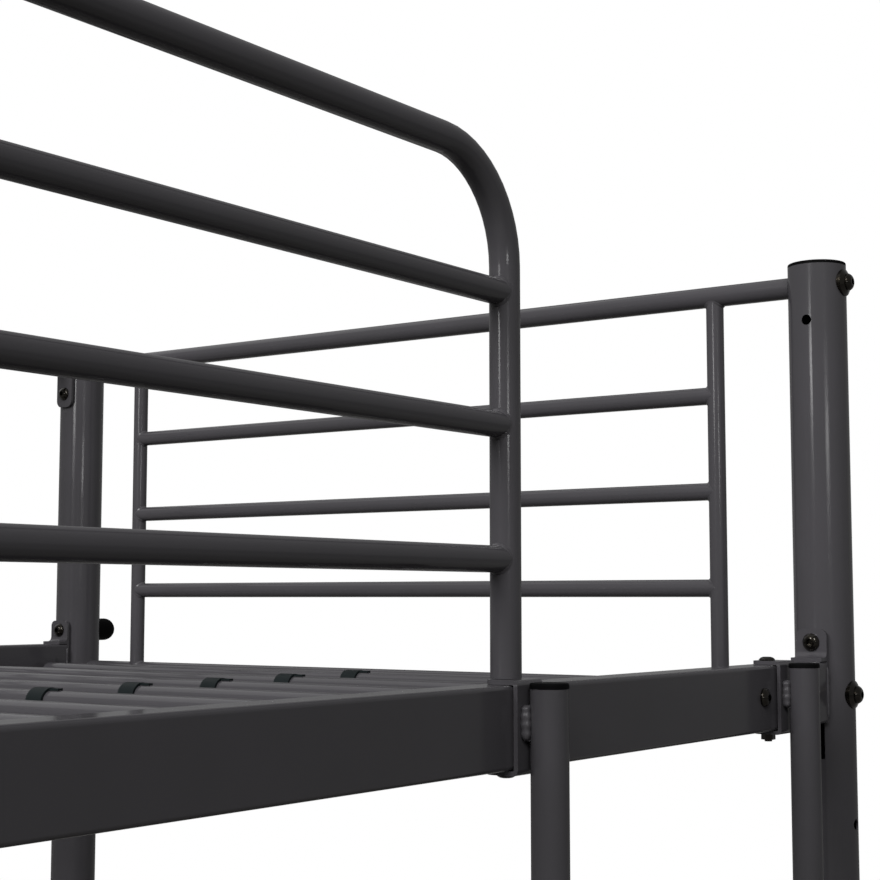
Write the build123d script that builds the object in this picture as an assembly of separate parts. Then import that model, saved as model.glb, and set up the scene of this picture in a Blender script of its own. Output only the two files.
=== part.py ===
"""Bunk bed of round powder-coated steel tube, with a bolted frame, two beds and a fixed ladder.

Millimetres, +Z up, real size. X runs along the bed, Y across it. The ladder is on the -Y side, called
front, near the +X end, called right. Heights named "above rail" are counted from the top of the side
rail of the bed that the piece belongs to, and are negative below it.
"""

import os

from build123d import *

# Driving sizes of the frame
post_spacing_x = 2040.0
post_spacing_y = 940.0
lower_rail_top = 350.0
upper_rail_top = 1250.0
post_split_height = 780.0
post_top_above_rail = 346.0

# Shared clearances
seat_clearance = 0.2
weld_clearance = 0.05
thread_clearance = 0.1
overrun = 5.0

# Posts
post_diameter = 50.8
post_wall = 1.2
bolt_hole_radius = 4.5
spare_hole_above_rail = -139.0
hook_slot_width = 17.0
hook_slot_top_above_rail = -53.0
hook_slot_height = 30.0
sleeve_length = 160.0
sleeve_wall = 2.0
cap_rim_thickness = 3.0
cap_plug_depth = 10.0
cap_edge_radius = 1.2
foot_pad_thickness = 4.0
foot_pad_lip = 1.6
foot_plug_depth = 22.0

# Side rails
rail_height = 52.0
rail_thickness = 28.0
rail_wall = 1.2
rail_corner_radius = 3.0
bracket_thickness = 3.0
bracket_width = 27.6
bracket_tab_height = 27.0
bracket_tab_corner = 6.0
bracket_foot_length = 12.0
bracket_bend_radius = 5.0
bracket_bolt_above_rail = 16.0
tongue_width = 7.0
tongue_drop = 24.0
hook_thickness = 4.0
hook_reach = 8.0
hook_height = 12.0
hook_nose_chamfer = 4.0

# End panels
panel_bar_diameter = 19.0
panel_bar_wall = 1.2
panel_low_bar_above_rail = -29.0
panel_top_bar_above_rail = 330.0
panel_cross_diameter = 16.0
panel_cross_wall = 1.0
panel_first_cross_above_rail = 62.5
panel_cross_pitch = 88.0
upper_panel_crosses = 3
lower_panel_crosses = 2
panel_upright_setback = 100.0
insert_length = 18.0
insert_grip_share = 0.8
washer_diameter = 24.0
washer_thickness = 3.2
washer_edge_thickness = 0.8
washer_land_past_head = 0.5

# Guard rails
guard_tube_diameter = 20.0
guard_tube_wall = 1.2
guard_top_above_rail = 335.0
guard_bend_radius = 70.0
guard_bar_diameter = 17.0
guard_bar_wall = 1.0
guard_bar_count = 3
guard_first_bar_above_rail = 78.0
guard_bar_pitch = 85.0
guard_upright_setback = 175.0
guard_tab_width = 25.0
guard_tab_thickness = 3.0
guard_tab_drop = 16.0
guard_tab_corner = 8.0
guard_bolt_above_rail = 296.0

# Ladder
ladder_setback = 119.0
ladder_width = 388.0
stile_diameter = 24.0
stile_wall = 1.2
stile_weld_gap = 1.8
stile_top_above_rail = -2.0
stile_cap_thickness = 3.6
stile_cap_lip = 0.3
stile_plug_depth = 12.0
rung_diameter = 22.0
rung_wall = 1.2
rung_count = 5
first_rung_height = 200.0
rung_pitch = 210.0
clip_thickness = 3.0
clip_width = 30.0
clip_face_gap = 1.2
clip_tip_past_centre = 8.0
clip_bend_radius = 4.0
clip_tip_corner = 8.0
clip_weld_height = 22.0
clip_weld_width = 16.0
clip_weld_above_rail = -23.0
ladder_foot_thickness = 4.0

# Slats, ledges and centre beam
slat_diameter = 19.0
slat_wall = 0.8
slat_count = 20
slat_top_above_rail = -20.0
slat_end_setback = 65.0
ledge_thickness = 1.5
ledge_width = 24.0
ledge_upstand = 27.0
ledge_past_slat = 8.0
slat_end_clearance = 1.0
beam_size = 25.0
beam_wall = 1.2
beam_corner_radius = 2.5
beam_end_clearance = 0.5
hanger_thickness = 3.0
hanger_width = 40.0
hanger_seat_length = 34.0
saddle_width = 18.0
saddle_thickness = 2.0
saddle_foot_length = 8.0
saddle_tail_length = 10.0
saddle_tail_width = 5.0
saddle_tail_drop = 0.5

# Fasteners
bolt_radius = 4.0
bolt_head_diameter = 15.0
bolt_head_height = 4.6
socket_across_flats = 5.0
socket_depth = 2.6
head_rim_share = 0.28
head_shoulder_radius_share = 0.74
head_shoulder_height_share = 0.8
head_land_to_socket_share = 0.7
nut_across_flats = 13.0
nut_thickness = 6.5
small_bolt_radius = 3.0
small_bolt_hole_radius = 3.3
small_head_diameter = 13.0
small_head_height = 2.8
small_socket_across_flats = 4.0
small_socket_depth = 1.6
small_nut_across_flats = 10.0
small_nut_thickness = 5.0
thread_past_nut = 1.5
guard_bolt_engagement = 16.0
knob_diameter = 26.0
knob_straight_length = 16.0
knob_wall = 2.5
rail_face_bolt_setback = 156.0
rail_face_bolt_middle_offset = 100.0
rail_face_bolt_above_rail = -24.6

# Places worked out from the sizes above
half_x = post_spacing_x / 2
half_y = post_spacing_y / 2
post_radius = post_diameter / 2
bore_radius = post_radius - post_wall
rail_end_x = half_x - post_radius - seat_clearance - bracket_thickness
slat_pitch = (post_spacing_x - slat_end_setback * 2) / (slat_count - 1)
slat_radius = slat_diameter / 2
ladder_right_x = half_x - ladder_setback
ladder_left_x = ladder_right_x - ladder_width
clip_face_y = -half_y - rail_thickness / 2 - clip_face_gap
stile_y = clip_face_y - clip_thickness - stile_weld_gap - stile_diameter / 2
guard_leg_x = half_x - guard_upright_setback
guard_radius = guard_tube_diameter / 2
clip_top_above_rail = seat_clearance + clip_thickness
rails_top = {"upper": upper_rail_top, "lower": lower_rail_top}
side_names = {-1: "front", 1: "back"}
end_names = {-1: "left", 1: "right"}
sides = (-1, 1)
ends = (-1, 1)


def box_between(low, high):
    """A box from its lowest corner to its highest corner."""
    size = Vector(*high) - Vector(*low)
    return Location(low) * Solid.make_box(size.X, size.Y, size.Z)


def rod(start, direction, length, radius):
    """A round bar that starts at a point and runs along a direction."""
    return Solid.make_cylinder(radius, length, Plane(origin=start, z_dir=direction))


def hex_rod(start, direction, length, across_flats):
    """A six-sided bar, measured across its flats."""
    section = Plane(origin=start, z_dir=direction)
    outline = section * RegularPolygon(across_flats / 2, 6, major_radius=False)
    return extrude(outline, length).solid()


def tube(start, end, diameter, wall):
    """A straight round tube between the centres of its two ends."""
    axis = Vector(*end) - Vector(*start)
    outer = rod(start, axis, axis.length, diameter / 2)
    bore_start = Vector(*start) - axis.normalized() * overrun
    bore = rod(bore_start, axis, axis.length + overrun * 2, diameter / 2 - wall)
    return (outer - bore).solid()


def rectangular_tube(x_from, x_to, centre, height, thickness, wall, corner):
    """A tube along X with rounded long edges, given the Y and Z of its centre line."""
    y, z = centre
    section = Plane(origin=(x_from, y, z), x_dir=(0, 1, 0), z_dir=(1, 0, 0))
    outline = section * RectangleRounded(thickness, height, corner)
    hollow = section * RectangleRounded(thickness - wall * 2, height - wall * 2, corner - wall)
    return extrude(outline - hollow, x_to - x_from).solid()


def button_head(seat, direction, diameter, height, socket, depth):
    """A domed bolt head with a hexagon socket. direction points out of the head."""
    radius = diameter / 2
    rim = height * head_rim_share
    shoulder = (radius * head_shoulder_radius_share, height * head_shoulder_height_share)
    land = socket * head_land_to_socket_share
    with BuildSketch(Plane.XZ) as half_profile:
        with BuildLine():
            Line((0, 0), (radius, 0))
            Line((radius, 0), (radius, rim))
            ThreePointArc((radius, rim), shoulder, (land, height))
            Line((land, height), (0, height))
            Line((0, height), (0, 0))
        make_face()
    dome = revolve(half_profile.sketch, Axis.Z).solid()
    hexagon = hex_rod((0, 0, height - depth), (0, 0, 1), depth + overrun, socket)
    return (Plane(origin=seat, z_dir=direction).location * (dome - hexagon)).solid()


def button_bolt(seat, direction, shank_length, small=False):
    """A button-head bolt: the seat is under the head, and the shank runs against direction."""
    diameter = small_head_diameter if small else bolt_head_diameter
    height = small_head_height if small else bolt_head_height
    socket = small_socket_across_flats if small else socket_across_flats
    depth = small_socket_depth if small else socket_depth
    radius = small_bolt_radius if small else bolt_radius
    head = button_head(seat, direction, diameter, height, socket, depth)
    shank = rod(seat, -Vector(*direction), shank_length, radius)
    return (head + shank).solid()


def nut(face, direction, across_flats, thickness, radius):
    """A plain hexagon nut that starts at a face and runs along direction."""
    body = hex_rod(face, direction, thickness, across_flats)
    back = Vector(*face) - Vector(*direction) * overrun
    return (body - rod(back, direction, thickness + overrun * 2, radius)).solid()


def post_cylinder(end, side, radius):
    """A round bar on a post's axis, longer than the post, for fitting what meets the post."""
    height = upper_rail_top + post_top_above_rail + overrun * 2
    return rod((end * half_x, side * half_y, -overrun), (0, 0, 1), height, radius)


def bolt_hole(start, direction, length, radius=bolt_hole_radius):
    """The round hole that a bolt passes through."""
    return rod(start, direction, length, radius)


def post_holes(end, side, rail_top, has_guard_holes):
    """Every hole that a post has for the bed at one height."""
    x, y = end * half_x, side * half_y
    reach = post_radius + overrun
    through_y = post_diameter + overrun * 2
    top_bar = panel_top_above_rail(has_guard_holes)
    cuts = []
    for height in (panel_low_bar_above_rail, top_bar):
        cuts.append(bolt_hole((x, y - reach, rail_top + height), (0, 1, 0), through_y))
    rail_bolt_length = through_y if side > 0 else reach
    rail_bolt_z = rail_top + bracket_bolt_above_rail
    cuts.append(bolt_hole((x - end * reach, y, rail_bolt_z), (end, 0, 0), rail_bolt_length))
    slot_top = rail_top + hook_slot_top_above_rail
    slot_x = sorted((x - end * reach, x))
    cuts.append(box_between((slot_x[0], y - hook_slot_width / 2, slot_top - hook_slot_height),
                            (slot_x[1], y + hook_slot_width / 2, slot_top)))
    if has_guard_holes:
        guard_bolt_z = rail_top + guard_bolt_above_rail
        spare_z = rail_top + spare_hole_above_rail
        cuts.append(bolt_hole((x - end * reach, y, guard_bolt_z), (end, 0, 0), reach))
        cuts.append(bolt_hole((x, y + side * reach, spare_z), (0, -side, 0), reach))
    return cuts


def panel_top_above_rail(is_upper):
    """Height of an end panel's top bar: the lower panel has one cross bar fewer and ends there."""
    if is_upper:
        return panel_top_bar_above_rail
    return panel_first_cross_above_rail + panel_cross_pitch * lower_panel_crosses


def post(end, side, level):
    """One length of post tube, with its bolt holes and the slot for the rail's hook."""
    x, y = end * half_x, side * half_y
    is_upper = level == "upper"
    bottom = post_split_height if is_upper else foot_pad_thickness
    top = upper_rail_top + post_top_above_rail if is_upper else post_split_height
    body = tube((x, y, bottom), (x, y, top), post_diameter, post_wall)
    return (body - post_holes(end, side, rails_top[level], is_upper)).solid()


def joint_sleeve(end, side):
    """The tube inside a post that lines up its lower and upper lengths."""
    x, y = end * half_x, side * half_y
    bottom = post_split_height - sleeve_length / 2
    diameter = (bore_radius - seat_clearance) * 2
    return tube((x, y, bottom), (x, y, bottom + sleeve_length), diameter, sleeve_wall)


def plug(centre, direction, rim_radius, rim_thickness, plug_radius, plug_depth, edge):
    """A plastic end cap: a rim that lies on a tube's end, and a plug inside the tube."""
    rim = rod(centre, direction, rim_thickness, rim_radius)
    outer_face = Plane(origin=Vector(*centre) + Vector(*direction) * rim_thickness, z_dir=direction)
    outer_edges = [e for e in rim.edges() if abs(outer_face.to_local_coords(e.center()).Z) < edge / 2]
    rim = rim.fillet(edge, [e for e in outer_edges if e.geom_type == GeomType.CIRCLE])
    return (rim + rod(centre, -Vector(*direction), plug_depth, plug_radius)).solid()


def post_cap(end, side):
    """The black cap on top of a post."""
    top = upper_rail_top + post_top_above_rail
    centre = (end * half_x, side * half_y, top)
    plug_radius = bore_radius - seat_clearance
    return plug(centre, (0, 0, 1), post_radius, cap_rim_thickness, plug_radius,
                cap_plug_depth, cap_edge_radius)


def foot(x, y, tube_radius, wall, thickness):
    """The pad under a tube: its flat lower face rests on the floor."""
    plug_radius = tube_radius - wall - seat_clearance
    return plug((x, y, thickness), (0, 0, -1), tube_radius + foot_pad_lip, thickness, plug_radius,
                foot_plug_depth, cap_edge_radius)


def side_rail(side, level):
    """A rectangular side rail, with holes for the bolts that cross it."""
    top = rails_top[level]
    y = side * half_y
    body = rectangular_tube(-rail_end_x, rail_end_x, (y, top - rail_height / 2), rail_height, rail_thickness,
                            rail_wall, rail_corner_radius)
    through_y = rail_thickness + overrun * 2
    cuts = []
    for x in rail_face_bolt_places():
        height = top + rail_face_bolt_above_rail
        cuts.append(bolt_hole((x, y - side * through_y / 2, height), (0, side, 0), through_y))
    for x in vertical_bolt_places(side, level):
        below = (x, y, top - rail_height - overrun)
        cuts.append(bolt_hole(below, (0, 0, 1), rail_height + overrun * 2, small_bolt_hole_radius))
    return (body - cuts).solid()


def rail_face_bolt_places():
    """X of the bolts that hold a slat ledge against the inside of its rail."""
    outermost = half_x - rail_face_bolt_setback
    return (-outermost, -rail_face_bolt_middle_offset, outermost)


def vertical_bolt_places(side, level):
    """X of the upright bolts through a side rail."""
    places = []
    if side < 0:
        places += [ladder_left_x, ladder_right_x]
    if level == "upper":
        places += guard_foot_places(side)
    return places


def guard_foot_places(side):
    """X of the guard's legs that stand straight on the rail."""
    middle = guard_middle_x(side)
    if side < 0:
        return [-guard_leg_x, middle]
    return [-guard_leg_x, middle, guard_leg_x]


def guard_middle_x(side):
    """X of the short leg under the middle of a guard's lowest bar."""
    right = ladder_left_x if side < 0 else guard_leg_x
    return (right - guard_leg_x) / 2


def rail_bracket(end, side, level):
    """The plate on a rail's end: a tab on the post, a foot on the rail and a hook in the post's slot."""
    top = rails_top[level]
    y = side * half_y
    inner = half_x - post_radius - seat_clearance
    outer_face = inner - bracket_thickness
    half_width = bracket_width / 2
    tab_top = top + bracket_tab_height
    plate = box_between((outer_face, y - half_width, top - rail_height), (inner, y + half_width, tab_top))
    corners = [e for e in plate.edges().filter_by(Axis.X) if e.center().Z > tab_top - bracket_tab_corner]
    plate = plate.fillet(bracket_tab_corner, corners)
    foot_plate = box_between((outer_face - bracket_foot_length, y - half_width, top),
                             (outer_face, y + half_width, top + bracket_thickness))
    tongue = box_between((outer_face, y - tongue_width / 2, top - rail_height - tongue_drop),
                         (inner, y + tongue_width / 2, top - rail_height))
    hook_top = top - rail_height - tongue_drop + hook_height
    hook_inner = inner + hook_reach
    nose = box_between((inner, y - hook_thickness / 2, hook_top - hook_height),
                       (hook_inner, y + hook_thickness / 2, hook_top))
    nose = nose.chamfer(hook_nose_chamfer, None, nose.edges().filter_by(Axis.Y).group_by(Axis.X)[-1])
    bracket = plate + foot_plate + tongue + nose
    foot_top = top + bracket_thickness
    bend = [e for e in bracket.edges().filter_by(Axis.Y) if is_near(e, outer_face, foot_top)]
    bracket = bracket.solid().fillet(bracket_bend_radius, bend)
    hole = bolt_hole((inner - post_diameter, y, top + bracket_bolt_above_rail), (1, 0, 0), post_diameter)
    bracket = (bracket - hole).solid()
    return bracket if end > 0 else mirror(bracket, about=Plane.YZ).solid()


def is_near(edge, x, z):
    """Whether an edge's middle lies at an X and a Z."""
    middle = edge.center()
    return abs(middle.X - x) < seat_clearance and abs(middle.Z - z) < seat_clearance


def end_panel(end, level):
    """An end panel: two long bars between the posts, two uprights and the cross bars welded between them."""
    is_upper = level == "upper"
    rail_top = rails_top[level]
    x = end * half_x
    low_z = rail_top + panel_low_bar_above_rail
    top_z = rail_top + panel_top_above_rail(is_upper)
    front_post = post_cylinder(end, -1, post_radius + seat_clearance)
    back_post = post_cylinder(end, 1, post_radius + seat_clearance)
    long_bars = []
    for z in (low_z, top_z):
        bar = tube((x, -half_y, z), (x, half_y, z), panel_bar_diameter, panel_bar_wall)
        long_bars.append((bar - front_post - back_post).solid())
    bar_envelopes = [rod((x, -half_y, z), (0, 1, 0), post_spacing_y, panel_bar_diameter / 2 + weld_clearance)
                     for z in (low_z, top_z)]
    upright_y = half_y - panel_upright_setback
    uprights = []
    for y in (-upright_y, upright_y):
        upright = tube((x, y, low_z), (x, y, top_z), panel_cross_diameter, panel_cross_wall)
        uprights.append((upright - bar_envelopes).solid())
    upright_envelopes = [rod((x, side * upright_y, low_z), (0, 0, 1), top_z - low_z,
                             panel_cross_diameter / 2 + weld_clearance) for side in sides]
    crosses = []
    for z in panel_cross_heights(level):
        cross = tube((x, -upright_y, z), (x, upright_y, z), panel_cross_diameter, panel_cross_wall)
        crosses.append((cross - upright_envelopes).solid())
    return long_bars + uprights + crosses


def panel_cross_heights(level):
    """Z of the cross bars of an end panel."""
    count = upper_panel_crosses if level == "upper" else lower_panel_crosses
    first = rails_top[level] + panel_first_cross_above_rail
    return [first + panel_cross_pitch * number for number in range(count)]


def panel_bolt_places(level):
    """The end of each long bar of the end panels: its end, its side and its height."""
    is_upper = level == "upper"
    heights = (panel_low_bar_above_rail, panel_top_above_rail(is_upper))
    return [(end, side, rails_top[level] + z) for end in ends for side in sides for z in heights]


def panel_insert(end, side, z):
    """The threaded plug inside the end of a panel's long bar."""
    x = end * half_x
    radius = panel_bar_diameter / 2 - panel_bar_wall - weld_clearance
    face_y = half_y - post_radius - seat_clearance
    body = rod((x, side * (face_y - insert_length), z), (0, side, 0), insert_length + post_radius, radius)
    body = body - post_cylinder(end, side, post_radius + seat_clearance)
    bore = rod((x, 0, z), (0, side, 0), half_y, bolt_radius + thread_clearance)
    return (body - bore).solid()


def panel_washer(end, side, z):
    """A washer under the head of an end panel's bolt: curved to the post inside, a low cone outside."""
    x, y = end * half_x, side * half_y
    edge_reach = post_radius + thread_clearance + washer_edge_thickness
    edge = rod((x, y, z), (0, side, 0), edge_reach, washer_diameter / 2)
    land_radius = bolt_head_diameter / 2 + washer_land_past_head
    cone_base = Plane(origin=(x, y + side * edge_reach, z), z_dir=(0, side, 0))
    cone_height = washer_thickness - washer_edge_thickness
    cone = Solid.make_cone(washer_diameter / 2, land_radius, cone_height, cone_base)
    post_face = post_cylinder(end, side, post_radius + thread_clearance)
    hole = bolt_hole((x, y, z), (0, side, 0), post_diameter)
    return (edge + cone - post_face - hole).solid()


def panel_bolt(end, side, z):
    """The bolt that passes through a post into the end of a panel's bar."""
    head_seat = post_radius + thread_clearance * 2 + washer_thickness
    shank = head_seat + post_radius + insert_length * insert_grip_share
    return button_bolt((end * half_x, side * (half_y + head_seat), z), (0, side, 0), shank)


def rail_bolt(end, side, level):
    """The bolt through a rail bracket's tab. At the back it passes right through the post."""
    height = rails_top[level] + bracket_bolt_above_rail
    head_seat = post_radius + seat_clearance + bracket_thickness + thread_clearance
    if side > 0:
        shank = head_seat + post_radius + nut_thickness + thread_past_nut
    else:
        shank = bracket_thickness + post_wall + nut_thickness + thread_past_nut
    return button_bolt((end * (half_x - head_seat), side * half_y, height), (-end, 0, 0), shank)


def rail_nut(end, side, level):
    """The nut of a rail bolt: inside the front posts, outside the back posts."""
    height = rails_top[level] + bracket_bolt_above_rail
    across = nut_across_flats / 2
    if side > 0:
        face = (end * (half_x + post_radius + thread_clearance), side * half_y, height)
    else:
        wall_at_corner = (bore_radius ** 2 - across ** 2) ** 0.5
        face = (end * (half_x - wall_at_corner + seat_clearance), side * half_y, height)
    return nut(face, (end, 0, 0), nut_across_flats, nut_thickness, bolt_radius + thread_clearance)


def rail_knob(end, level):
    """The round cap over a rail bolt's nut on the outer face of a back post."""
    height = rails_top[level] + bracket_bolt_above_rail
    radius = knob_diameter / 2
    start = (end * half_x, half_y, height)
    straight = post_radius + knob_straight_length
    body = rod(start, (end, 0, 0), straight, radius)
    dome = Location((end * (half_x + straight), half_y, height)) * Solid.make_sphere(radius)
    inner_reach = post_radius + nut_thickness + thread_past_nut * 2
    hollow = rod(start, (end, 0, 0), inner_reach, radius - knob_wall)
    post_envelope = post_cylinder(end, 1, post_radius + seat_clearance)
    return (body + dome - hollow - post_envelope).solid()


def guard_tab(end, side):
    """The flat plate that closes a guard's top bar and is bolted to the post."""
    y = side * half_y
    inner = half_x - post_radius - seat_clearance
    bottom = upper_rail_top + guard_bolt_above_rail - guard_tab_drop
    top = upper_rail_top + guard_top_above_rail + guard_radius
    plate = box_between((inner - guard_tab_thickness, y - guard_tab_width / 2, bottom),
                        (inner, y + guard_tab_width / 2, top))
    plate = plate.fillet(guard_tab_corner, plate.edges().filter_by(Axis.X))
    hole_z = upper_rail_top + guard_bolt_above_rail
    hole = bolt_hole((half_x - post_diameter, y, hole_z), (1, 0, 0), post_diameter)
    plate = (plate - hole).solid()
    return plate if end > 0 else mirror(plate, about=Plane.YZ).solid()


def guard_tab_places():
    """The ends of the guards that are bolted to a post."""
    return [(-1, -1), (-1, 1), (1, 1)]


def guard_tab_bolt(end, side):
    """The bolt through a guard's tab into the post."""
    head_seat = post_radius + seat_clearance + guard_tab_thickness + thread_clearance
    height = upper_rail_top + guard_bolt_above_rail
    shank = guard_tab_thickness + post_wall + nut_thickness + thread_past_nut
    return button_bolt((end * (half_x - head_seat), side * half_y, height), (-end, 0, 0), shank)


def guard_tab_nut(end, side):
    """The nut inside the post for a guard's tab bolt."""
    across = nut_across_flats / 2
    wall_at_corner = (bore_radius ** 2 - across ** 2) ** 0.5
    height = upper_rail_top + guard_bolt_above_rail
    face = (end * (half_x - wall_at_corner + seat_clearance), side * half_y, height)
    return nut(face, (end, 0, 0), nut_across_flats, nut_thickness, bolt_radius + thread_clearance)


def bent_guard_tube(start, corner, end_point):
    """The guard's tube: along X, round one bend and down."""
    path = FilletPolyline(start, corner, end_point, radius=guard_bend_radius)
    section = Plane(origin=path @ 0, z_dir=path % 0)
    outline = section * (Circle(guard_radius) - Circle(guard_radius - guard_tube_wall))
    return sweep(outline, path=path).solid()


def guard_bar_heights():
    """Z of a guard's bars below its top tube."""
    first = upper_rail_top + guard_first_bar_above_rail
    return [first + guard_bar_pitch * number for number in range(guard_bar_count)]


def guard(side):
    """A guard: its top tube, its legs and the bars welded between the legs."""
    y = side * half_y
    top_z = upper_rail_top + guard_top_above_rail
    rail_z = upper_rail_top + seat_clearance
    tab_face = half_x - post_radius - seat_clearance - guard_tab_thickness - weld_clearance
    right_leg_x = ladder_left_x if side < 0 else guard_leg_x
    pieces = []
    if side < 0:
        leg_bottom = upper_rail_top + clip_top_above_rail + seat_clearance
        corner = (right_leg_x, y, top_z)
        pieces.append(bent_guard_tube((-tab_face, y, top_z), corner, (right_leg_x, y, leg_bottom)))
        straight_legs = [-guard_leg_x]
    else:
        top_ends = ((-tab_face, y, top_z), (tab_face, y, top_z))
        pieces.append(tube(*top_ends, guard_tube_diameter, guard_tube_wall))
        straight_legs = [-guard_leg_x, guard_leg_x]
    top_envelope = rod((-half_x, y, top_z), (1, 0, 0), post_spacing_x, guard_radius + weld_clearance)
    for x in straight_legs:
        leg = tube((x, y, rail_z), (x, y, top_z), guard_tube_diameter, guard_tube_wall)
        pieces.append((leg - top_envelope).solid())
    leg_envelopes = [rod((x, y, rail_z), (0, 0, 1), guard_top_above_rail, guard_radius + weld_clearance)
                     for x in (-guard_leg_x, right_leg_x)]
    for z in guard_bar_heights():
        bar = tube((-guard_leg_x, y, z), (right_leg_x, y, z), guard_bar_diameter, guard_bar_wall)
        pieces.append((bar - leg_envelopes).solid())
    lowest = guard_bar_heights()[0]
    middle_x = guard_middle_x(side)
    short_leg = tube((middle_x, y, rail_z), (middle_x, y, lowest), guard_bar_diameter, guard_bar_wall)
    bar_radius = guard_bar_diameter / 2 + weld_clearance
    pieces.append((short_leg - rod((-half_x, y, lowest), (1, 0, 0), post_spacing_x, bar_radius)).solid())
    return pieces


def guard_leg_list():
    """Each guard leg: its X, its side, the height of its lower end and the bore inside it."""
    legs = [(ladder_left_x, -1, clip_top_above_rail, guard_radius - guard_tube_wall)]
    for side in sides:
        for x in guard_foot_places(side):
            is_middle = x == guard_middle_x(side)
            bore = guard_bar_diameter / 2 - guard_bar_wall if is_middle else guard_radius - guard_tube_wall
            legs.append((x, side, 0, bore))
    return legs


def guard_leg_insert(x, side, bottom, bore):
    """The threaded plug in the lower end of a guard's leg."""
    z = upper_rail_top + bottom + seat_clearance
    start = (x, side * half_y, z)
    body = rod(start, (0, 0, 1), insert_length, bore - weld_clearance)
    return (body - rod(start, (0, 0, 1), insert_length, small_bolt_radius + thread_clearance)).solid()


def guard_leg_bolt(x, side, bottom):
    """The bolt from under the rail up into a guard's leg. At the ladder it holds the clip too."""
    seat = upper_rail_top - rail_height - bottom - thread_clearance
    shank = rail_height + bottom * 2 + seat_clearance + guard_bolt_engagement
    return button_bolt((x, side * half_y, seat), (0, 0, -1), shank, small=True)


def ladder_stile(x):
    """One upright of the ladder."""
    bottom = (x, stile_y, ladder_foot_thickness)
    return tube(bottom, (x, stile_y, upper_rail_top + stile_top_above_rail), stile_diameter, stile_wall)


def stile_cap(x):
    """The black cap on top of a ladder upright."""
    centre = (x, stile_y, upper_rail_top + stile_top_above_rail)
    radius = stile_diameter / 2
    plug_radius = radius - stile_wall - seat_clearance
    return plug(centre, (0, 0, 1), radius + stile_cap_lip, stile_cap_thickness, plug_radius,
                stile_plug_depth, cap_edge_radius)


def ladder_rung(number):
    """One rung, shaped at its ends to the two uprights."""
    z = first_rung_height + rung_pitch * number
    rung = tube((ladder_left_x, stile_y, z), (ladder_right_x, stile_y, z), rung_diameter, rung_wall)
    for x in (ladder_left_x, ladder_right_x):
        rung = rung - rod((x, stile_y, z - rung_diameter), (0, 0, 1), rung_diameter * 2,
                          stile_diameter / 2 + weld_clearance)
    return rung.solid()


def ladder_clip(x, level):
    """The C-shaped clip round a front rail, with the weld that joins it to the ladder's upright."""
    top = rails_top[level]
    y = -half_y
    half_width = clip_width / 2
    low = top - rail_height - seat_clearance
    high = top + seat_clearance
    tip_y = y + clip_tip_past_centre
    solid = box_between((x - half_width, clip_face_y - clip_thickness, low - clip_thickness),
                        (x + half_width, tip_y, high + clip_thickness))
    bends = [e for e in solid.edges().filter_by(Axis.X) if e.center().Y < y]
    solid = solid.fillet(clip_bend_radius, bends)
    tips = [e for e in solid.edges().filter_by(Axis.Z) if e.center().Y > y]
    solid = solid.fillet(clip_tip_corner, tips)
    inside = box_between((x - clip_width, clip_face_y, low), (x + clip_width, tip_y + overrun, high))
    inner_bends = [e for e in inside.edges().filter_by(Axis.X) if e.center().Y < y]
    solid = solid - inside.fillet(clip_bend_radius - clip_thickness, inner_bends)
    weld_z = top + clip_weld_above_rail
    weld_back = clip_face_y - clip_thickness
    weld = box_between((x - clip_weld_width / 2, stile_y, weld_z - clip_weld_height / 2),
                       (x + clip_weld_width / 2, weld_back, weld_z + clip_weld_height / 2))
    stile_envelope = rod((x, stile_y, low - rail_height), (0, 0, 1), rail_height * 3,
                         stile_diameter / 2 + weld_clearance)
    hole = bolt_hole((x, y, low - rail_height), (0, 0, 1), rail_height * 3, small_bolt_hole_radius)
    return ((solid + weld) - stile_envelope - hole).solid()


def ladder_clip_bolt_places():
    """The ladder clips that have a bolt and nut of their own. A guard's leg bolt holds the other one."""
    return [(ladder_right_x, "upper"), (ladder_right_x, "lower"), (ladder_left_x, "lower")]


def ladder_clip_bolt(x, level):
    """The bolt down through a ladder clip and the rail."""
    seat = rails_top[level] + clip_top_above_rail + thread_clearance
    grip = rail_height + clip_top_above_rail * 2 + thread_clearance * 2
    shank = grip + small_nut_thickness + thread_past_nut
    return button_bolt((x, -half_y, seat), (0, 0, 1), shank, small=True)


def ladder_clip_nut(x, level):
    """The nut under a ladder clip."""
    face = (x, -half_y, rails_top[level] - rail_height - clip_top_above_rail - thread_clearance)
    bore = small_bolt_radius + thread_clearance
    return nut(face, (0, 0, -1), small_nut_across_flats, small_nut_thickness, bore)


def slat_places():
    """X of the slats, evenly spaced between the posts."""
    first = -half_x + slat_end_setback
    return [first + slat_pitch * number for number in range(slat_count)]


def slats(level):
    """The round slats of one bed. They end short of the nuts that stand on the ledges' inner faces."""
    z = rails_top[level] + slat_top_above_rail - slat_radius
    ledge_face = half_y - rail_thickness / 2 - seat_clearance - ledge_thickness
    reach = ledge_face - nut_thickness - thread_past_nut - slat_end_clearance
    return [tube((x, -reach, z), (x, reach, z), slat_diameter, slat_wall) for x in slat_places()]


def slat_bottom(level):
    """Z of the slats' undersides."""
    return rails_top[level] + slat_top_above_rail - slat_diameter


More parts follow.
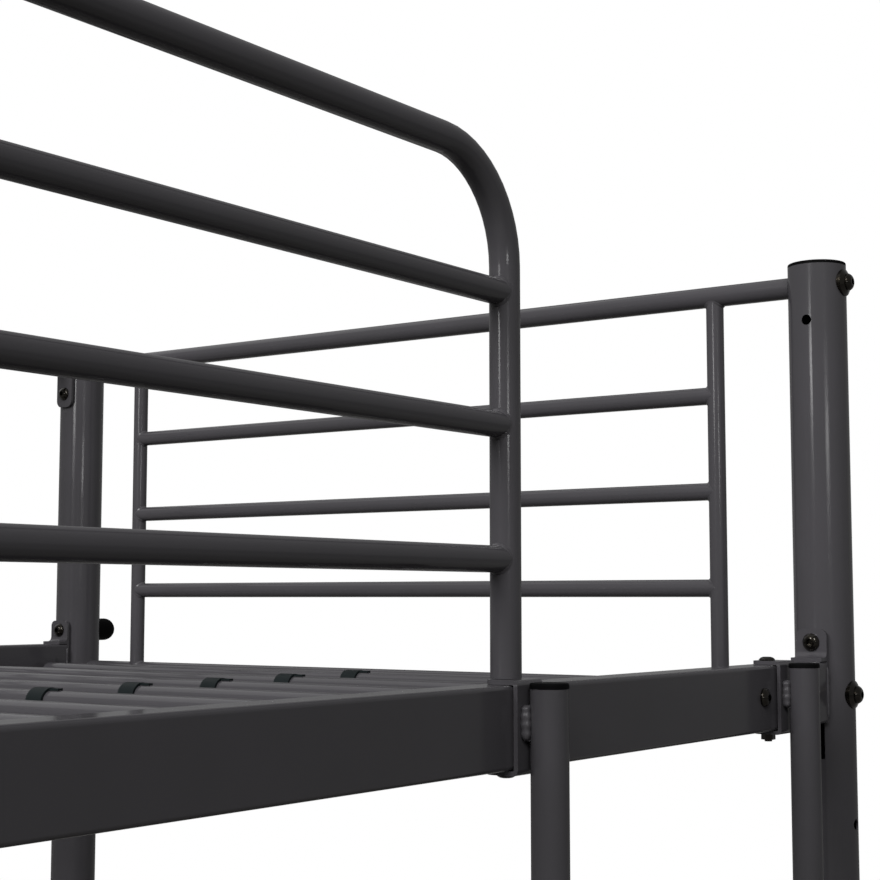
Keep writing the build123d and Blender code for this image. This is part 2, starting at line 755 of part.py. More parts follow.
def slat_ledge(side, level):
    """The steel angle inside a rail that carries the ends of the slats."""
    rail_face = half_y - rail_thickness / 2 - seat_clearance
    top = slat_bottom(level) - seat_clearance
    reach = half_x - slat_end_setback + slat_radius + ledge_past_slat
    bottom = top - ledge_thickness
    shelf = box_between((-reach, rail_face - ledge_width, bottom), (reach, rail_face, top))
    upstand = box_between((-reach, rail_face - ledge_thickness, bottom),
                          (reach, rail_face, bottom + ledge_upstand))
    angle = shelf + upstand
    for x in rail_face_bolt_places():
        height = rails_top[level] + rail_face_bolt_above_rail
        angle = angle - bolt_hole((x, rail_face - ledge_width, height), (0, 1, 0), ledge_width + overrun)
    angle = angle.solid()
    return angle if side > 0 else mirror(angle, about=Plane.XZ).solid()


def rail_face_bolt(x, side, level):
    """The bolt from the outside of a rail that holds its slat ledge."""
    height = rails_top[level] + rail_face_bolt_above_rail
    seat = half_y + rail_thickness / 2 + thread_clearance
    grip = rail_thickness + thread_clearance * 2 + seat_clearance + ledge_thickness
    shank = grip + nut_thickness + thread_past_nut
    return button_bolt((x, side * seat, height), (0, side, 0), shank)


def rail_face_nut(x, side, level):
    """The nut of a ledge bolt, on the inside of the ledge."""
    height = rails_top[level] + rail_face_bolt_above_rail
    face = half_y - rail_thickness / 2 - seat_clearance - ledge_thickness - thread_clearance
    bore = bolt_radius + thread_clearance
    return nut((x, side * face, height), (0, -side, 0), nut_across_flats, nut_thickness, bore)


def beam_top(level):
    """Z of the top of the centre beam."""
    return slat_bottom(level) - seat_clearance


def centre_beam(level):
    """The square tube under the middle of the slats."""
    reach = half_x - hanger_thickness / 2 - beam_end_clearance
    z = beam_top(level) - beam_size / 2
    body = rectangular_tube(-reach, reach, (0, z), beam_size, beam_size, beam_wall, beam_corner_radius)
    for end in ends:
        below = (end * hanger_bolt_x(), 0, z - beam_size)
        body = body - bolt_hole(below, (0, 0, 1), beam_size, small_bolt_hole_radius)
    return body.solid()


def hanger_bolt_x():
    """Distance of the beam's end bolts from the middle of the bed."""
    return half_x - hanger_thickness - hanger_seat_length / 2


def beam_hanger(end, level):
    """The bent plate welded under an end panel's low bar, with the seat that carries the centre beam."""
    bar_z = rails_top[level] + panel_low_bar_above_rail
    seat_top = beam_top(level) - beam_size - seat_clearance
    half_width = hanger_width / 2
    inner = half_x - hanger_thickness / 2
    upright = box_between((inner, -half_width, seat_top - hanger_thickness),
                          (inner + hanger_thickness, half_width, bar_z))
    seat = box_between((inner - hanger_seat_length, -half_width, seat_top - hanger_thickness),
                       (inner, half_width, seat_top))
    bar = rod((half_x, -half_y, bar_z), (0, 1, 0), post_spacing_y, panel_bar_diameter / 2 + weld_clearance)
    below = (hanger_bolt_x(), 0, seat_top - beam_size)
    hole = bolt_hole(below, (0, 0, 1), beam_size * 2, small_bolt_hole_radius)
    hanger = (upright + seat - bar - hole).solid()
    return hanger if end > 0 else mirror(hanger, about=Plane.YZ).solid()


def beam_bolt(end, level):
    """The bolt up through a hanger's seat into the centre beam."""
    seat = beam_top(level) - beam_size - seat_clearance - hanger_thickness - thread_clearance
    grip = hanger_thickness + thread_clearance + seat_clearance + beam_wall
    shank = grip + small_nut_thickness + thread_past_nut
    return button_bolt((end * hanger_bolt_x(), 0, seat), (0, 0, -1), shank, small=True)


def beam_nut(end, level):
    """The nut inside the centre beam."""
    face = beam_top(level) - beam_size + beam_wall + thread_clearance
    return nut((end * hanger_bolt_x(), 0, face), (0, 0, 1), small_nut_across_flats, small_nut_thickness,
               small_bolt_radius + thread_clearance)


def saddle(x, level):
    """The plastic strap over a slat where it crosses the centre beam."""
    bottom = beam_top(level) + seat_clearance
    axis_z = slat_bottom(level) + slat_radius
    inner = slat_radius + seat_clearance
    outer = inner + saddle_thickness
    half_width = saddle_width / 2
    strap = rod((x, -half_width, axis_z), (0, 1, 0), saddle_width, outer)
    sides_down = box_between((x - outer, -half_width, bottom), (x + outer, half_width, axis_z))
    feet = box_between((x - outer - saddle_foot_length, -half_width, bottom),
                       (x + outer + saddle_foot_length, half_width, bottom + saddle_thickness))
    tail = box_between((x - saddle_tail_width / 2, -half_width - saddle_tail_length, axis_z),
                       (x + saddle_tail_width / 2, 0, axis_z + outer - saddle_tail_drop))
    gap = rod((x, -post_diameter, axis_z), (0, 1, 0), post_diameter * 2, inner)
    gap_down = box_between((x - inner, -half_width - overrun, bottom - overrun),
                           (x + inner, half_width + overrun, axis_z))
    below = box_between((x - outer * 2, -half_width * 2, bottom - outer * 2),
                        (x + outer * 2, half_width * 2, bottom))
    return ((strap + sides_down + feet + tail) - gap - gap_down - below).solid()


def build_nodes():
    """Every node of the bed by name, each with its list of solids."""
    levels = ("upper", "lower")
    corners = [(end, side) for end in ends for side in sides]
    nodes = {}
    for level in levels:
        for end, side in corners:
            nodes[f"{level}_post_{side_names[side]}_{end_names[end]}"] = [post(end, side, level)]
        for end in ends:
            nodes[f"{level}_end_panel_{end_names[end]}"] = end_panel(end, level)
        for side in sides:
            nodes[f"{level}_side_rail_{side_names[side]}"] = [side_rail(side, level)]
            brackets = [rail_bracket(end, side, level) for end in ends]
            nodes[f"{level}_rail_brackets_{side_names[side]}"] = brackets
        nodes[f"{level}_slats"] = slats(level)
        nodes[f"{level}_slat_ledges"] = [slat_ledge(side, level) for side in sides]
        nodes[f"{level}_centre_beam"] = [centre_beam(level)]
        nodes[f"{level}_slat_saddles"] = [saddle(x, level) for x in slat_places()]
    nodes["post_joint_sleeves"] = [joint_sleeve(end, side) for end, side in corners]
    nodes["post_top_caps"] = [post_cap(end, side) for end, side in corners]
    nodes["post_feet"] = [foot(end * half_x, side * half_y, post_radius, post_wall, foot_pad_thickness)
                          for end, side in corners]
    nodes["ladder_feet"] = [foot(x, stile_y, stile_diameter / 2, stile_wall, ladder_foot_thickness)
                            for x in (ladder_left_x, ladder_right_x)]
    nodes["guard_rail_front"] = guard(-1)
    nodes["guard_rail_back"] = guard(1)
    nodes["guard_end_tabs"] = [guard_tab(end, side) for end, side in guard_tab_places()]
    nodes["guard_leg_inserts"] = [guard_leg_insert(*leg) for leg in guard_leg_list()]
    for x, name in ((ladder_left_x, "left"), (ladder_right_x, "right")):
        nodes[f"ladder_stile_{name}"] = [ladder_stile(x)]
        nodes[f"ladder_clips_{name}"] = [ladder_clip(x, level) for level in levels]
    for number in range(rung_count):
        nodes[f"ladder_rung_{number + 1}"] = [ladder_rung(number)]
    nodes["ladder_stile_caps"] = [stile_cap(x) for x in (ladder_left_x, ladder_right_x)]
    nodes["centre_beam_hangers"] = [beam_hanger(end, level) for level in levels for end in ends]
    nodes.update(fastener_nodes(levels, corners))
    return nodes


def fastener_nodes(levels, corners):
    """The bolts, nuts, washers and inserts, grouped by what they hold."""
    panel_places = [place for level in levels for place in panel_bolt_places(level)]
    rail_corners = [(end, side, level) for level in levels for end, side in corners]
    ledge_places = [(x, side, level) for level in levels for side in sides for x in rail_face_bolt_places()]
    beam_ends = [(end, level) for level in levels for end in ends]
    large_nuts = [rail_nut(*corner) for corner in rail_corners]
    large_nuts += [guard_tab_nut(end, side) for end, side in guard_tab_places()]
    large_nuts += [rail_face_nut(*place) for place in ledge_places]
    small_nuts = [ladder_clip_nut(x, level) for x, level in ladder_clip_bolt_places()]
    small_nuts += [beam_nut(end, level) for end, level in beam_ends]
    return {
        "panel_bar_inserts": [panel_insert(*place) for place in panel_places],
        "panel_washers": [panel_washer(*place) for place in panel_places],
        "panel_bolts": [panel_bolt(*place) for place in panel_places],
        "rail_bracket_bolts": [rail_bolt(*corner) for corner in rail_corners],
        "rail_bolt_knobs": [rail_knob(end, level) for end, level in beam_ends],
        "guard_tab_bolts": [guard_tab_bolt(end, side) for end, side in guard_tab_places()],
        "guard_leg_bolts": [guard_leg_bolt(x, side, bottom) for x, side, bottom, _ in guard_leg_list()],
        "ladder_clip_bolts": [ladder_clip_bolt(x, level) for x, level in ladder_clip_bolt_places()],
        "ledge_bolts": [rail_face_bolt(*place) for place in ledge_places],
        "beam_bolts": [beam_bolt(end, level) for end, level in beam_ends],
        "large_nuts": large_nuts,
        "small_nuts": small_nuts,
    }


nodes = build_nodes()
whole = Compound([solid for solids in nodes.values() for solid in solids]).bounding_box()
to_origin = Location((-whole.center().X, -whole.center().Y, -whole.min.Z))

os.makedirs("parts", exist_ok=True)
for name, solids in nodes.items():
    placed = [solid.moved(to_origin) for solid in solids]
    export_step(Compound(placed), f"parts/{name}.step")
print(len(nodes), "nodes,", sum(len(solids) for solids in nodes.values()), "solids")
print("size", [round(value, 2) for value in whole.size])
print("moved by", [round(value, 3) for value in to_origin.position])
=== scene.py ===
# %% [markdown]
# This lesson dresses a metal bunk bed. The real bed is round and rectangular steel tube, welded into flat
# panels in a workshop, sprayed with grey powder and baked, then bolted together at home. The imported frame
# already holds every tube, plate and bolt at its real size. What is left for Blender is what the eye reads
# as real: the skin of the powder coat, the weld beads where tubes meet, the plating and the plastic, and
# soft studio light on a pale floor. Lengths are in metres, and mm is a thousandth of one.

# %% Load the frame
import math
from collections import namedtuple

import bmesh
import bpy
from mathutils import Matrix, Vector


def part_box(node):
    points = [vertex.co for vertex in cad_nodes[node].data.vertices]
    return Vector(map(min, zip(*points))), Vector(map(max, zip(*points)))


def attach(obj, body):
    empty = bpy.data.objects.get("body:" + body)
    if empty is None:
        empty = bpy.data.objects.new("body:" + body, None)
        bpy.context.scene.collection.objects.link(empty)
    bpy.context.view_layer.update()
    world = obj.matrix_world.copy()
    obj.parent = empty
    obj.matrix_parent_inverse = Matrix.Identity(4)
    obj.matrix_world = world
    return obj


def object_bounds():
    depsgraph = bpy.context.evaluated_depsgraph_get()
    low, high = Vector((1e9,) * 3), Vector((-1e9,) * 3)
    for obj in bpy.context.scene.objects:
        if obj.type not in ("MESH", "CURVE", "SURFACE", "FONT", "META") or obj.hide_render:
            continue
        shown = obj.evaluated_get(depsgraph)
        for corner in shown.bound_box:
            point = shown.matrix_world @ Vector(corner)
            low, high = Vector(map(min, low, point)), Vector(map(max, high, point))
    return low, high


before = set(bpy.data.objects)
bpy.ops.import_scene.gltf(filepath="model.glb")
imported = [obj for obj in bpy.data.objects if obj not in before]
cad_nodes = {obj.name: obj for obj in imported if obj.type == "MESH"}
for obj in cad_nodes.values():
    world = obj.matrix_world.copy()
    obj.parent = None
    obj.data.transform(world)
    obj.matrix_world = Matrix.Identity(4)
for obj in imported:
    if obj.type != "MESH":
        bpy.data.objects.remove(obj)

mm = 0.001
cad_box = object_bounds()
print("CAD box", [round(value, 3) for corner in cad_box for value in corner], "nodes", len(cad_nodes))

# %% [markdown]
# Four small helpers serve every material. Colours are picked on a screen, as hex values in sRGB, but light
# adds up in linear values, so the first function turns one into the other. The second adds a shader node,
# sets its values and links its inputs in one call, so that a material reads from top to bottom. The third
# starts a material, and the fourth turns the real size of a pattern into the scale of a noise texture.

# %% Turn a hex colour into linear light
def linear(hex_colour):
    """An sRGB hex colour as linear red, green, blue and alpha."""
    channels = [int(hex_colour[start:start + 2], 16) / 255 for start in (1, 3, 5)]
    return [c / 12.92 if c <= 0.04045 else ((c + 0.055) / 1.055) ** 2.4 for c in channels] + [1.0]


print("mid grey", [round(value, 3) for value in linear("#808080")])

# %% Add one shader node
def add_node(tree, kind, inputs=None, **settings):
    """A new node. An input is linked where its value is another node's socket, and is set otherwise."""
    node = tree.nodes.new(kind)
    for name, value in settings.items():
        setattr(node, name, value)
    for name, value in (inputs or {}).items():
        if isinstance(value, bpy.types.NodeSocket):
            tree.links.new(value, node.inputs[name])
        else:
            node.inputs[name].default_value = value
    return node


# %% Start a material
def new_material(name, **shader_values):
    """A material with its tree, its shader and the place of each point on the object."""
    material = bpy.data.materials.new(name)
    material.use_nodes = True
    tree = material.node_tree
    shader = tree.nodes["Principled BSDF"]
    for socket, value in shader_values.items():
        shader.inputs[socket.replace("_", " ")].default_value = value
    place = add_node(tree, "ShaderNodeTexCoord").outputs["Object"]
    return material, tree, shader, place


def per_metre(cell):
    """The scale of a noise texture whose cells are this long, in metres."""
    return 1 / cell


print("scale of a 2 mm pattern", per_metre(2 * mm))

# %% [markdown]
# Powder coat is plastic dust that is sprayed on dry and melted in an oven. It flows less than wet paint,
# so its skin keeps shallow waves 2 to 3 mm apart, called orange peel, over slower swells about 14 mm long.
# Both break up the edge of each highlight. A hybrid epoxy and polyester powder has an IOR near 1.5. The
# streaks on the posts are short and narrow, which asks for a roughness near 0.15. The film is thinner over
# edges, and handling dulls it, so the colour and the gloss drift a little from place to place. Over a weld
# the film lies on rough metal and shines less. The photograph shows one neutral dark grey.

# %% Powder-coated steel
coat_light = "#474549"
coat_dark = "#3f3e40"
coat_ior = 1.5
coat_drift_cell = 110 * mm
gloss_patch_cell = coat_drift_cell / 3
peel_cell = 2.6 * mm
peel_height = 0.02 * mm
flow_cell = 14 * mm
flow_height = 0.05 * mm
# Nearly all values of a noise texture lie between these two.
noise_low, noise_high = 0.3, 0.7


def powder_coat(name, roughness_low, roughness_high, peel_share):
    """Powder coat with orange peel, slow colour drift and patches of duller gloss."""
    material, tree, shader, place = new_material(name, IOR=coat_ior)
    drift = add_node(tree, "ShaderNodeTexNoise", {"Vector": place, "Scale": per_metre(coat_drift_cell),
                                                  "Detail": 3.0, "Roughness": 0.55})
    tint = add_node(tree, "ShaderNodeMix", {"Factor": drift.outputs["Fac"], "A": linear(coat_dark),
                                            "B": linear(coat_light)}, data_type="RGBA")
    tree.links.new(tint.outputs["Result"], shader.inputs["Base Color"])
    patches = add_node(tree, "ShaderNodeTexNoise", {"Vector": place, "Scale": per_metre(gloss_patch_cell),
                                                    "Detail": 4.0})
    gloss = add_node(tree, "ShaderNodeMapRange", {"Value": patches.outputs["Fac"], "From Min": noise_low,
                                                  "From Max": noise_high, "To Min": roughness_low,
                                                  "To Max": roughness_high})
    tree.links.new(gloss.outputs["Result"], shader.inputs["Roughness"])
    peel = add_node(tree, "ShaderNodeTexNoise", {"Vector": place, "Scale": per_metre(peel_cell),
                                                 "Detail": 1.0, "Roughness": 0.4})
    flow = add_node(tree, "ShaderNodeTexNoise", {"Vector": place, "Scale": per_metre(flow_cell),
                                                 "Detail": 0.0})
    waves = add_node(tree, "ShaderNodeBump", {"Height": flow.outputs["Fac"], "Strength": 1.0,
                                              "Distance": flow_height * peel_share})
    skin = add_node(tree, "ShaderNodeBump", {"Height": peel.outputs["Fac"], "Strength": 1.0,
                                             "Distance": peel_height * peel_share,
                                             "Normal": waves.outputs["Normal"]})
    tree.links.new(skin.outputs["Normal"], shader.inputs["Normal"])
    return material


powder_coated_steel = powder_coat("powder_coated_steel", roughness_low=0.13, roughness_high=0.17,
                                  peel_share=0.35)
powder_coated_weld = powder_coat("powder_coated_weld", roughness_low=0.26, roughness_high=0.36,
                                 peel_share=0.7)
print(powder_coated_steel.name, powder_coated_weld.name)

# %% [markdown]
# The bolts, nuts and washers are black zinc: a bright metal plating turned dark in a bath. It stays a
# metal, and the clear sealer over it mirrors lamps as small sharp glints on a nearly black head. Tumbling
# in the bath leaves fine scuffs, which are drawn a little coarser than they are, because the real ones,
# about 0.1 mm wide, are finer than a pixel here. The plugs and sleeves inside the tubes are plated too, but
# stay bright.

# %% Plated steel
mottle_cell = 9 * mm
mottle_low, mottle_high = 0.35, 0.65
scuff_cell = 0.8 * mm
scuff_height = 0.006 * mm
sealer_weight = 0.6
sealer_roughness = 0.08


def plated_steel(name, dark_hex, light_hex, roughness_low, roughness_high):
    """Plated steel with a mottled tone, fine scuffs and a clear sealer. A metal keeps the default IOR."""
    material, tree, shader, place = new_material(name, Metallic=1.0, Coat_Weight=sealer_weight,
                                                 Coat_Roughness=sealer_roughness)
    mottle = add_node(tree, "ShaderNodeTexNoise", {"Vector": place, "Scale": per_metre(mottle_cell),
                                                   "Detail": 5.0})
    tint = add_node(tree, "ShaderNodeMix", {"Factor": mottle.outputs["Fac"], "A": linear(dark_hex),
                                            "B": linear(light_hex)}, data_type="RGBA")
    tree.links.new(tint.outputs["Result"], shader.inputs["Base Color"])
    gloss = add_node(tree, "ShaderNodeMapRange", {"Value": mottle.outputs["Fac"], "From Min": mottle_low,
                                                  "From Max": mottle_high, "To Min": roughness_low,
                                                  "To Max": roughness_high})
    tree.links.new(gloss.outputs["Result"], shader.inputs["Roughness"])
    scuffs = add_node(tree, "ShaderNodeTexNoise", {"Vector": place, "Scale": per_metre(scuff_cell),
                                                   "Detail": 2.0})
    skin = add_node(tree, "ShaderNodeBump", {"Height": scuffs.outputs["Fac"], "Strength": 1.0,
                                             "Distance": scuff_height})
    tree.links.new(skin.outputs["Normal"], shader.inputs["Normal"])
    return material


black_zinc_steel = plated_steel("black_zinc_steel", "#1f1c18", "#38332b", roughness_low=0.14,
                                roughness_high=0.22)
bright_zinc_steel = plated_steel("bright_zinc_steel", "#9a9c9f", "#b9bbbd", roughness_low=0.3,
                                 roughness_high=0.45)
print(black_zinc_steel.name, bright_zinc_steel.name)

# %% [markdown]
# The caps, feet and knobs are injection-moulded polyethylene, black all through. The mould was spark
# eroded, which prints a fine even grain on the part and scatters its gloss. The saddles on the slats are
# polypropylene, which is smoother, and their black leans to green in the photograph. Both plastics have an
# IOR near 1.5, but the caps in the photograph mirror almost nothing, so their mirror level is low.

# %% Moulded plastics
plastic_ior = 1.5
flow_mark_cell = 22 * mm
grain_cell = 0.7 * mm
grain_height = 0.03 * mm


def moulded_plastic(name, dark_hex, light_hex, roughness_low, roughness_high, grain_share, mirror_level):
    """Moulded plastic with an even grain and slow patches where it cooled faster or slower."""
    material, tree, shader, place = new_material(name, IOR=plastic_ior, Specular_IOR_Level=mirror_level)
    flow_marks = add_node(tree, "ShaderNodeTexNoise", {"Vector": place, "Scale": per_metre(flow_mark_cell),
                                                       "Detail": 2.0, "Distortion": 0.6})
    tint = add_node(tree, "ShaderNodeMix", {"Factor": flow_marks.outputs["Fac"], "A": linear(dark_hex),
                                            "B": linear(light_hex)}, data_type="RGBA")
    tree.links.new(tint.outputs["Result"], shader.inputs["Base Color"])
    gloss = add_node(tree, "ShaderNodeMapRange", {"Value": flow_marks.outputs["Fac"],
                                                  "From Min": noise_low, "From Max": noise_high,
                                                  "To Min": roughness_low, "To Max": roughness_high})
    tree.links.new(gloss.outputs["Result"], shader.inputs["Roughness"])
    grain = add_node(tree, "ShaderNodeTexVoronoi", {"Vector": place, "Scale": per_metre(grain_cell)},
                     feature="SMOOTH_F1")
    skin = add_node(tree, "ShaderNodeBump", {"Height": grain.outputs["Distance"], "Strength": 1.0,
                                             "Distance": grain_height * grain_share})
    tree.links.new(skin.outputs["Normal"], shader.inputs["Normal"])
    return material


polyethylene_black = moulded_plastic("polyethylene_black", "#070707", "#0c0c0d", roughness_low=0.55,
                                     roughness_high=0.65, grain_share=1.0, mirror_level=0.05)
polypropylene_dark = moulded_plastic("polypropylene_dark", "#121718", "#1a2021", roughness_low=0.45,
                                     roughness_high=0.55, grain_share=0.5, mirror_level=0.15)
print(polyethylene_black.name, polypropylene_dark.name)

# %% [markdown]
# Each node of the frame says which finish it has. The loop gives every node the material made for that
# finish, so that a bolt is plated and a tube is coated, wherever it is on the bed.

# %% Give every node its finish
finish_of_slot = {
    "powder_coated_steel": powder_coated_steel,
    "black_zinc_steel": black_zinc_steel,
    "bare_steel": bright_zinc_steel,
    "black_plastic": polyethylene_black,
    "saddle_plastic": polypropylene_dark,
}
for node in cad_nodes.values():
    slot_name = node.material_slots[0].name
    node.material_slots[0].material = finish_of_slot[slot_name]
print("finished", len(cad_nodes), "nodes")

# %% [markdown]
# The welds need to know where the tubes meet. Each solid in a node is one loose part of its mesh, so its
# box gives its length, its thickness and its place. A straight tube is then a start, an end and a radius,
# and the bent tube of the front guard counts as two of them, its top run and its leg, up to the bend.

# %% Find the solids in a node
join_distance = 0.002 * mm


def solid_boxes(node_name):
    """The lowest and highest corner of each separate solid of a node."""
    mesh = bmesh.new()
    mesh.from_mesh(cad_nodes[node_name].data)
    bmesh.ops.remove_doubles(mesh, verts=mesh.verts, dist=join_distance)
    unseen = set(mesh.verts)
    boxes = []
    while unseen:
        reached = [unseen.pop()]
        low, high = reached[0].co.copy(), reached[0].co.copy()
        while reached:
            vertex = reached.pop()
            low = Vector(map(min, low, vertex.co))
            high = Vector(map(max, high, vertex.co))
            for edge in vertex.link_edges:
                other = edge.other_vert(vertex)
                if other in unseen:
                    unseen.remove(other)
                    reached.append(other)
        boxes.append((low, high))
    mesh.free()
    return sorted(boxes, key=lambda box: tuple(box[0]))


print("solids in the front guard", len(solid_boxes("guard_rail_front")))

# %% Turn solids into tubes
Tube = namedtuple("Tube", "start end radius")
guard_bend_radius = 70 * mm
# A straight tube is only a few radii wide in two directions, and a bent one in one direction.
bent_tube_radii = 6


def tubes_of(node_name):
    """The straight tubes of a node. A bent tube gives one for each of its two runs."""
    found = []
    for low, high in solid_boxes(node_name):
        size, middle = high - low, (low + high) / 2
        radius = sorted(size)[0] / 2
        if sorted(size)[1] > radius * bent_tube_radii:
            top_z, leg_x = high.z - radius, high.x - radius
            bend_x, bend_z = leg_x - guard_bend_radius, top_z - guard_bend_radius
            found.append(Tube(Vector((low.x, middle.y, top_z)), Vector((bend_x, middle.y, top_z)), radius))
            found.append(Tube(Vector((leg_x, middle.y, low.z)), Vector((leg_x, middle.y, bend_z)), radius))
            continue
        along = list(size).index(max(size))
        start, end = middle.copy(), middle.copy()
        start[along], end[along] = low[along], high[along]
        found.append(Tube(start, end, radius))
    return found


print("tubes in the front guard", len(tubes_of("guard_rail_front")))

# %% [markdown]
# Where one tube runs into the side of another, its end is cut to a saddle and welded all round. A weld
# fillet is a band of metal in the corner between the two walls, about 2 mm long on each, with small
# ripples where the arc paused, a slightly hollow face, and the coat over it. It could be a bump in the
# material, but then the corner would stay sharp, so it is built as a mesh: one ring of small cross-sections
# that follows the curve where the two cylinders meet. It sinks a little into both walls, so that no gap
# can show.

# %% Build one saddle weld
weld_leg = 1.7 * mm
weld_sink = 0.12 * mm
weld_bulge_share = -0.06
ripple_pitch = 2.0 * mm
ripple_share = 0.05
leg_drift_share = 0.08
drift_per_metre = 40
ring_steps = 72
profile_steps = 5


def pushed_to_radius(point, axis_point, axis, radius):
    """The point moved straight out from an axis, or in to it, until it is at this radius."""
    along = (point - axis_point).dot(axis) * axis
    out = point - axis_point - along
    return axis_point + along + out.normalized() * radius


def saddle_section(turn, joint, away, branch_radius, main_axis, main_radius):
    """One cross-section of a saddle weld, at an angle round the branch tube."""
    side = away.cross(main_axis)
    round_branch = math.cos(turn) * main_axis + math.sin(turn) * side
    depth = math.sqrt(max(main_radius ** 2 - (branch_radius * math.sin(turn)) ** 2, 0))
    root = joint + round_branch * branch_radius + away * depth
    ripple = 1 + ripple_share * math.sin(turn * math.tau * branch_radius / ripple_pitch)
    leg = weld_leg * ripple * (1 + leg_drift_share * math.sin(turn * 2 + joint.x * drift_per_metre))
    wall = (root - joint - (root - joint).dot(main_axis) * main_axis).normalized()
    outward = (round_branch - round_branch.dot(wall) * wall).normalized()
    on_branch = root + away * leg - round_branch * weld_sink
    on_main = pushed_to_radius(root + outward * leg, joint, main_axis, main_radius - weld_sink)
    bulge = (on_branch + on_main) / 2 - root
    section = [root - bulge.normalized() * weld_sink]
    for step in range(profile_steps):
        share = step / (profile_steps - 1)
        swell = bulge.normalized() * math.sin(share * math.pi) * leg * weld_bulge_share
        section.append(on_branch.lerp(on_main, share) + swell)
    return section


def skin_rings(mesh, rings):
    """Joins each closed cross-section to the next one with faces."""
    for ring, following in zip(rings, rings[1:]):
        for corner in range(len(ring)):
            after = (corner + 1) % len(ring)
            mesh.faces.new((ring[corner], ring[after], following[after], following[corner]))


def add_saddle_weld(mesh, joint, away, branch_radius, main_axis, main_radius):
    """Adds the weld round a branch tube that leaves a main tube at right angles."""
    rings = []
    for step in range(ring_steps):
        turn = math.tau * step / ring_steps
        section = saddle_section(turn, joint, away, branch_radius, main_axis, main_radius)
        rings.append([mesh.verts.new(point) for point in section])
    skin_rings(mesh, rings + rings[:1])


print("faces in a saddle weld", ring_steps * (profile_steps + 1))

# %% Find where tubes meet
weld_reach = 1.5 * mm
right_angle_slack = 0.01


def meeting_places(branches, mains):
    """Every end of a branch tube that stands on the side of a main tube."""
    places = []
    for branch in branches:
        for main in mains:
            axis = (main.end - main.start).normalized()
            for end, other in ((branch.start, branch.end), (branch.end, branch.start)):
                away = (other - end).normalized()
                along = (end - main.start).dot(axis)
                gap = (end - main.start - along * axis).length
                inside = -weld_reach < along < (main.end - main.start).length + weld_reach
                square = abs(away.dot(axis)) < right_angle_slack
                if square and gap < main.radius + weld_reach and inside:
                    places.append((main.start + along * axis, away, branch.radius, axis, main.radius))
    return places


front_guard_tubes = tubes_of("guard_rail_front")
print("joints in the front guard", len(meeting_places(front_guard_tubes, front_guard_tubes)))

# %% Make a piece out of welds
def finish_piece(name, mesh, material):
    """Turns a bmesh into a smooth piece that rides on the bed."""
    bmesh.ops.recalc_face_normals(mesh, faces=mesh.faces)
    data = bpy.data.meshes.new(name)
    mesh.to_mesh(data)
    mesh.free()
    for face in data.polygons:
        face.use_smooth = True
    data.materials.append(material)
    piece = bpy.data.objects.new(name, data)
    bpy.context.scene.collection.objects.link(piece)
    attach(piece, "root")


def weld_panel(name, node_name):
    """The saddle welds between the tubes of one welded panel."""
    tubes = tubes_of(node_name)
    mesh = bmesh.new()
    places = meeting_places(tubes, tubes)
    for place in places:
        add_saddle_weld(mesh, *place)
    finish_piece(name, mesh, powder_coated_weld)
    print(name, len(places), "welds")


# %% Weld the guards and end panels
weld_panel("guard_front_welds", "guard_rail_front")
weld_panel("guard_back_welds", "guard_rail_back")
for level in ("upper", "lower"):
    for end in ("left", "right"):
        weld_panel(f"{level}_end_panel_{end}_welds", f"{level}_end_panel_{end}")

# %% Weld the ladder
rung_names = sorted(name for name in cad_nodes if name.startswith("ladder_rung_"))
stile_tubes = tubes_of("ladder_stile_left") + tubes_of("ladder_stile_right")
rung_tubes = [tube for name in rung_names for tube in tubes_of(name)]
ladder_mesh = bmesh.new()
rung_joints = meeting_places(rung_tubes, stile_tubes)
for rung_joint in rung_joints:
    add_saddle_weld(ladder_mesh, *rung_joint)
finish_piece("ladder_rung_welds", ladder_mesh, powder_coated_weld)
print("ladder welds", len(rung_joints))

# %% [markdown]
# The other seams are straight. A bead runs down each side of the gap between a ladder clip and its upright,
# thick and lumpy, because the gap is wide there. Thinner beads close the ends of the side rails against
# their brackets, and hold the beam's hangers under the end panels. A guard's end tab is a flat plate, which
# the saddle weld takes as a cylinder so large that it is flat.

# %% Build one straight bead
bead_step = 0.8 * mm
bead_lump_pitch = 5.5 * mm
bead_lump_share = 0.07
second_lump_ratio = 0.37
second_lump_start = 1
bead_sides = 14
bead_end_share = 0.3
bead_end_power = 10


def add_bead(mesh, start, end, radius):
    """Adds a bead along a straight seam: round, lumpy, and thinner at its ends."""
    along = end - start
    across = along.orthogonal().normalized()
    beside = along.normalized().cross(across)
    steps = round(along.length / bead_step)
    rings = []
    for step in range(steps + 1):
        share = step / steps
        lump_turn = share * along.length / bead_lump_pitch * math.tau + start.x / bead_lump_pitch
        lump = math.sin(lump_turn) + math.sin(lump_turn * second_lump_ratio + second_lump_start)
        taper = max(bead_end_share, math.sqrt(1 - abs(2 * share - 1) ** bead_end_power))
        reach = radius * taper * (1 + bead_lump_share * lump)
        ring = []
        for side in range(bead_sides):
            turn = math.tau * side / bead_sides
            out = across * math.cos(turn) + beside * math.sin(turn)
            ring.append(mesh.verts.new(start + along * share + out * reach))
        rings.append(ring)
    skin_rings(mesh, rings)
    mesh.faces.new(rings[0])
    mesh.faces.new(rings[-1])


print("lumps in a 20 mm bead", round(20 * mm / bead_lump_pitch, 1))

# %% Weld the ladder clips
clip_bead_radius = 3.3 * mm
clip_bead_length = 21 * mm
clip_bead_below_top = 26 * mm
clip_bead_offset = 9.4 * mm
clip_bead_out = 11.2 * mm

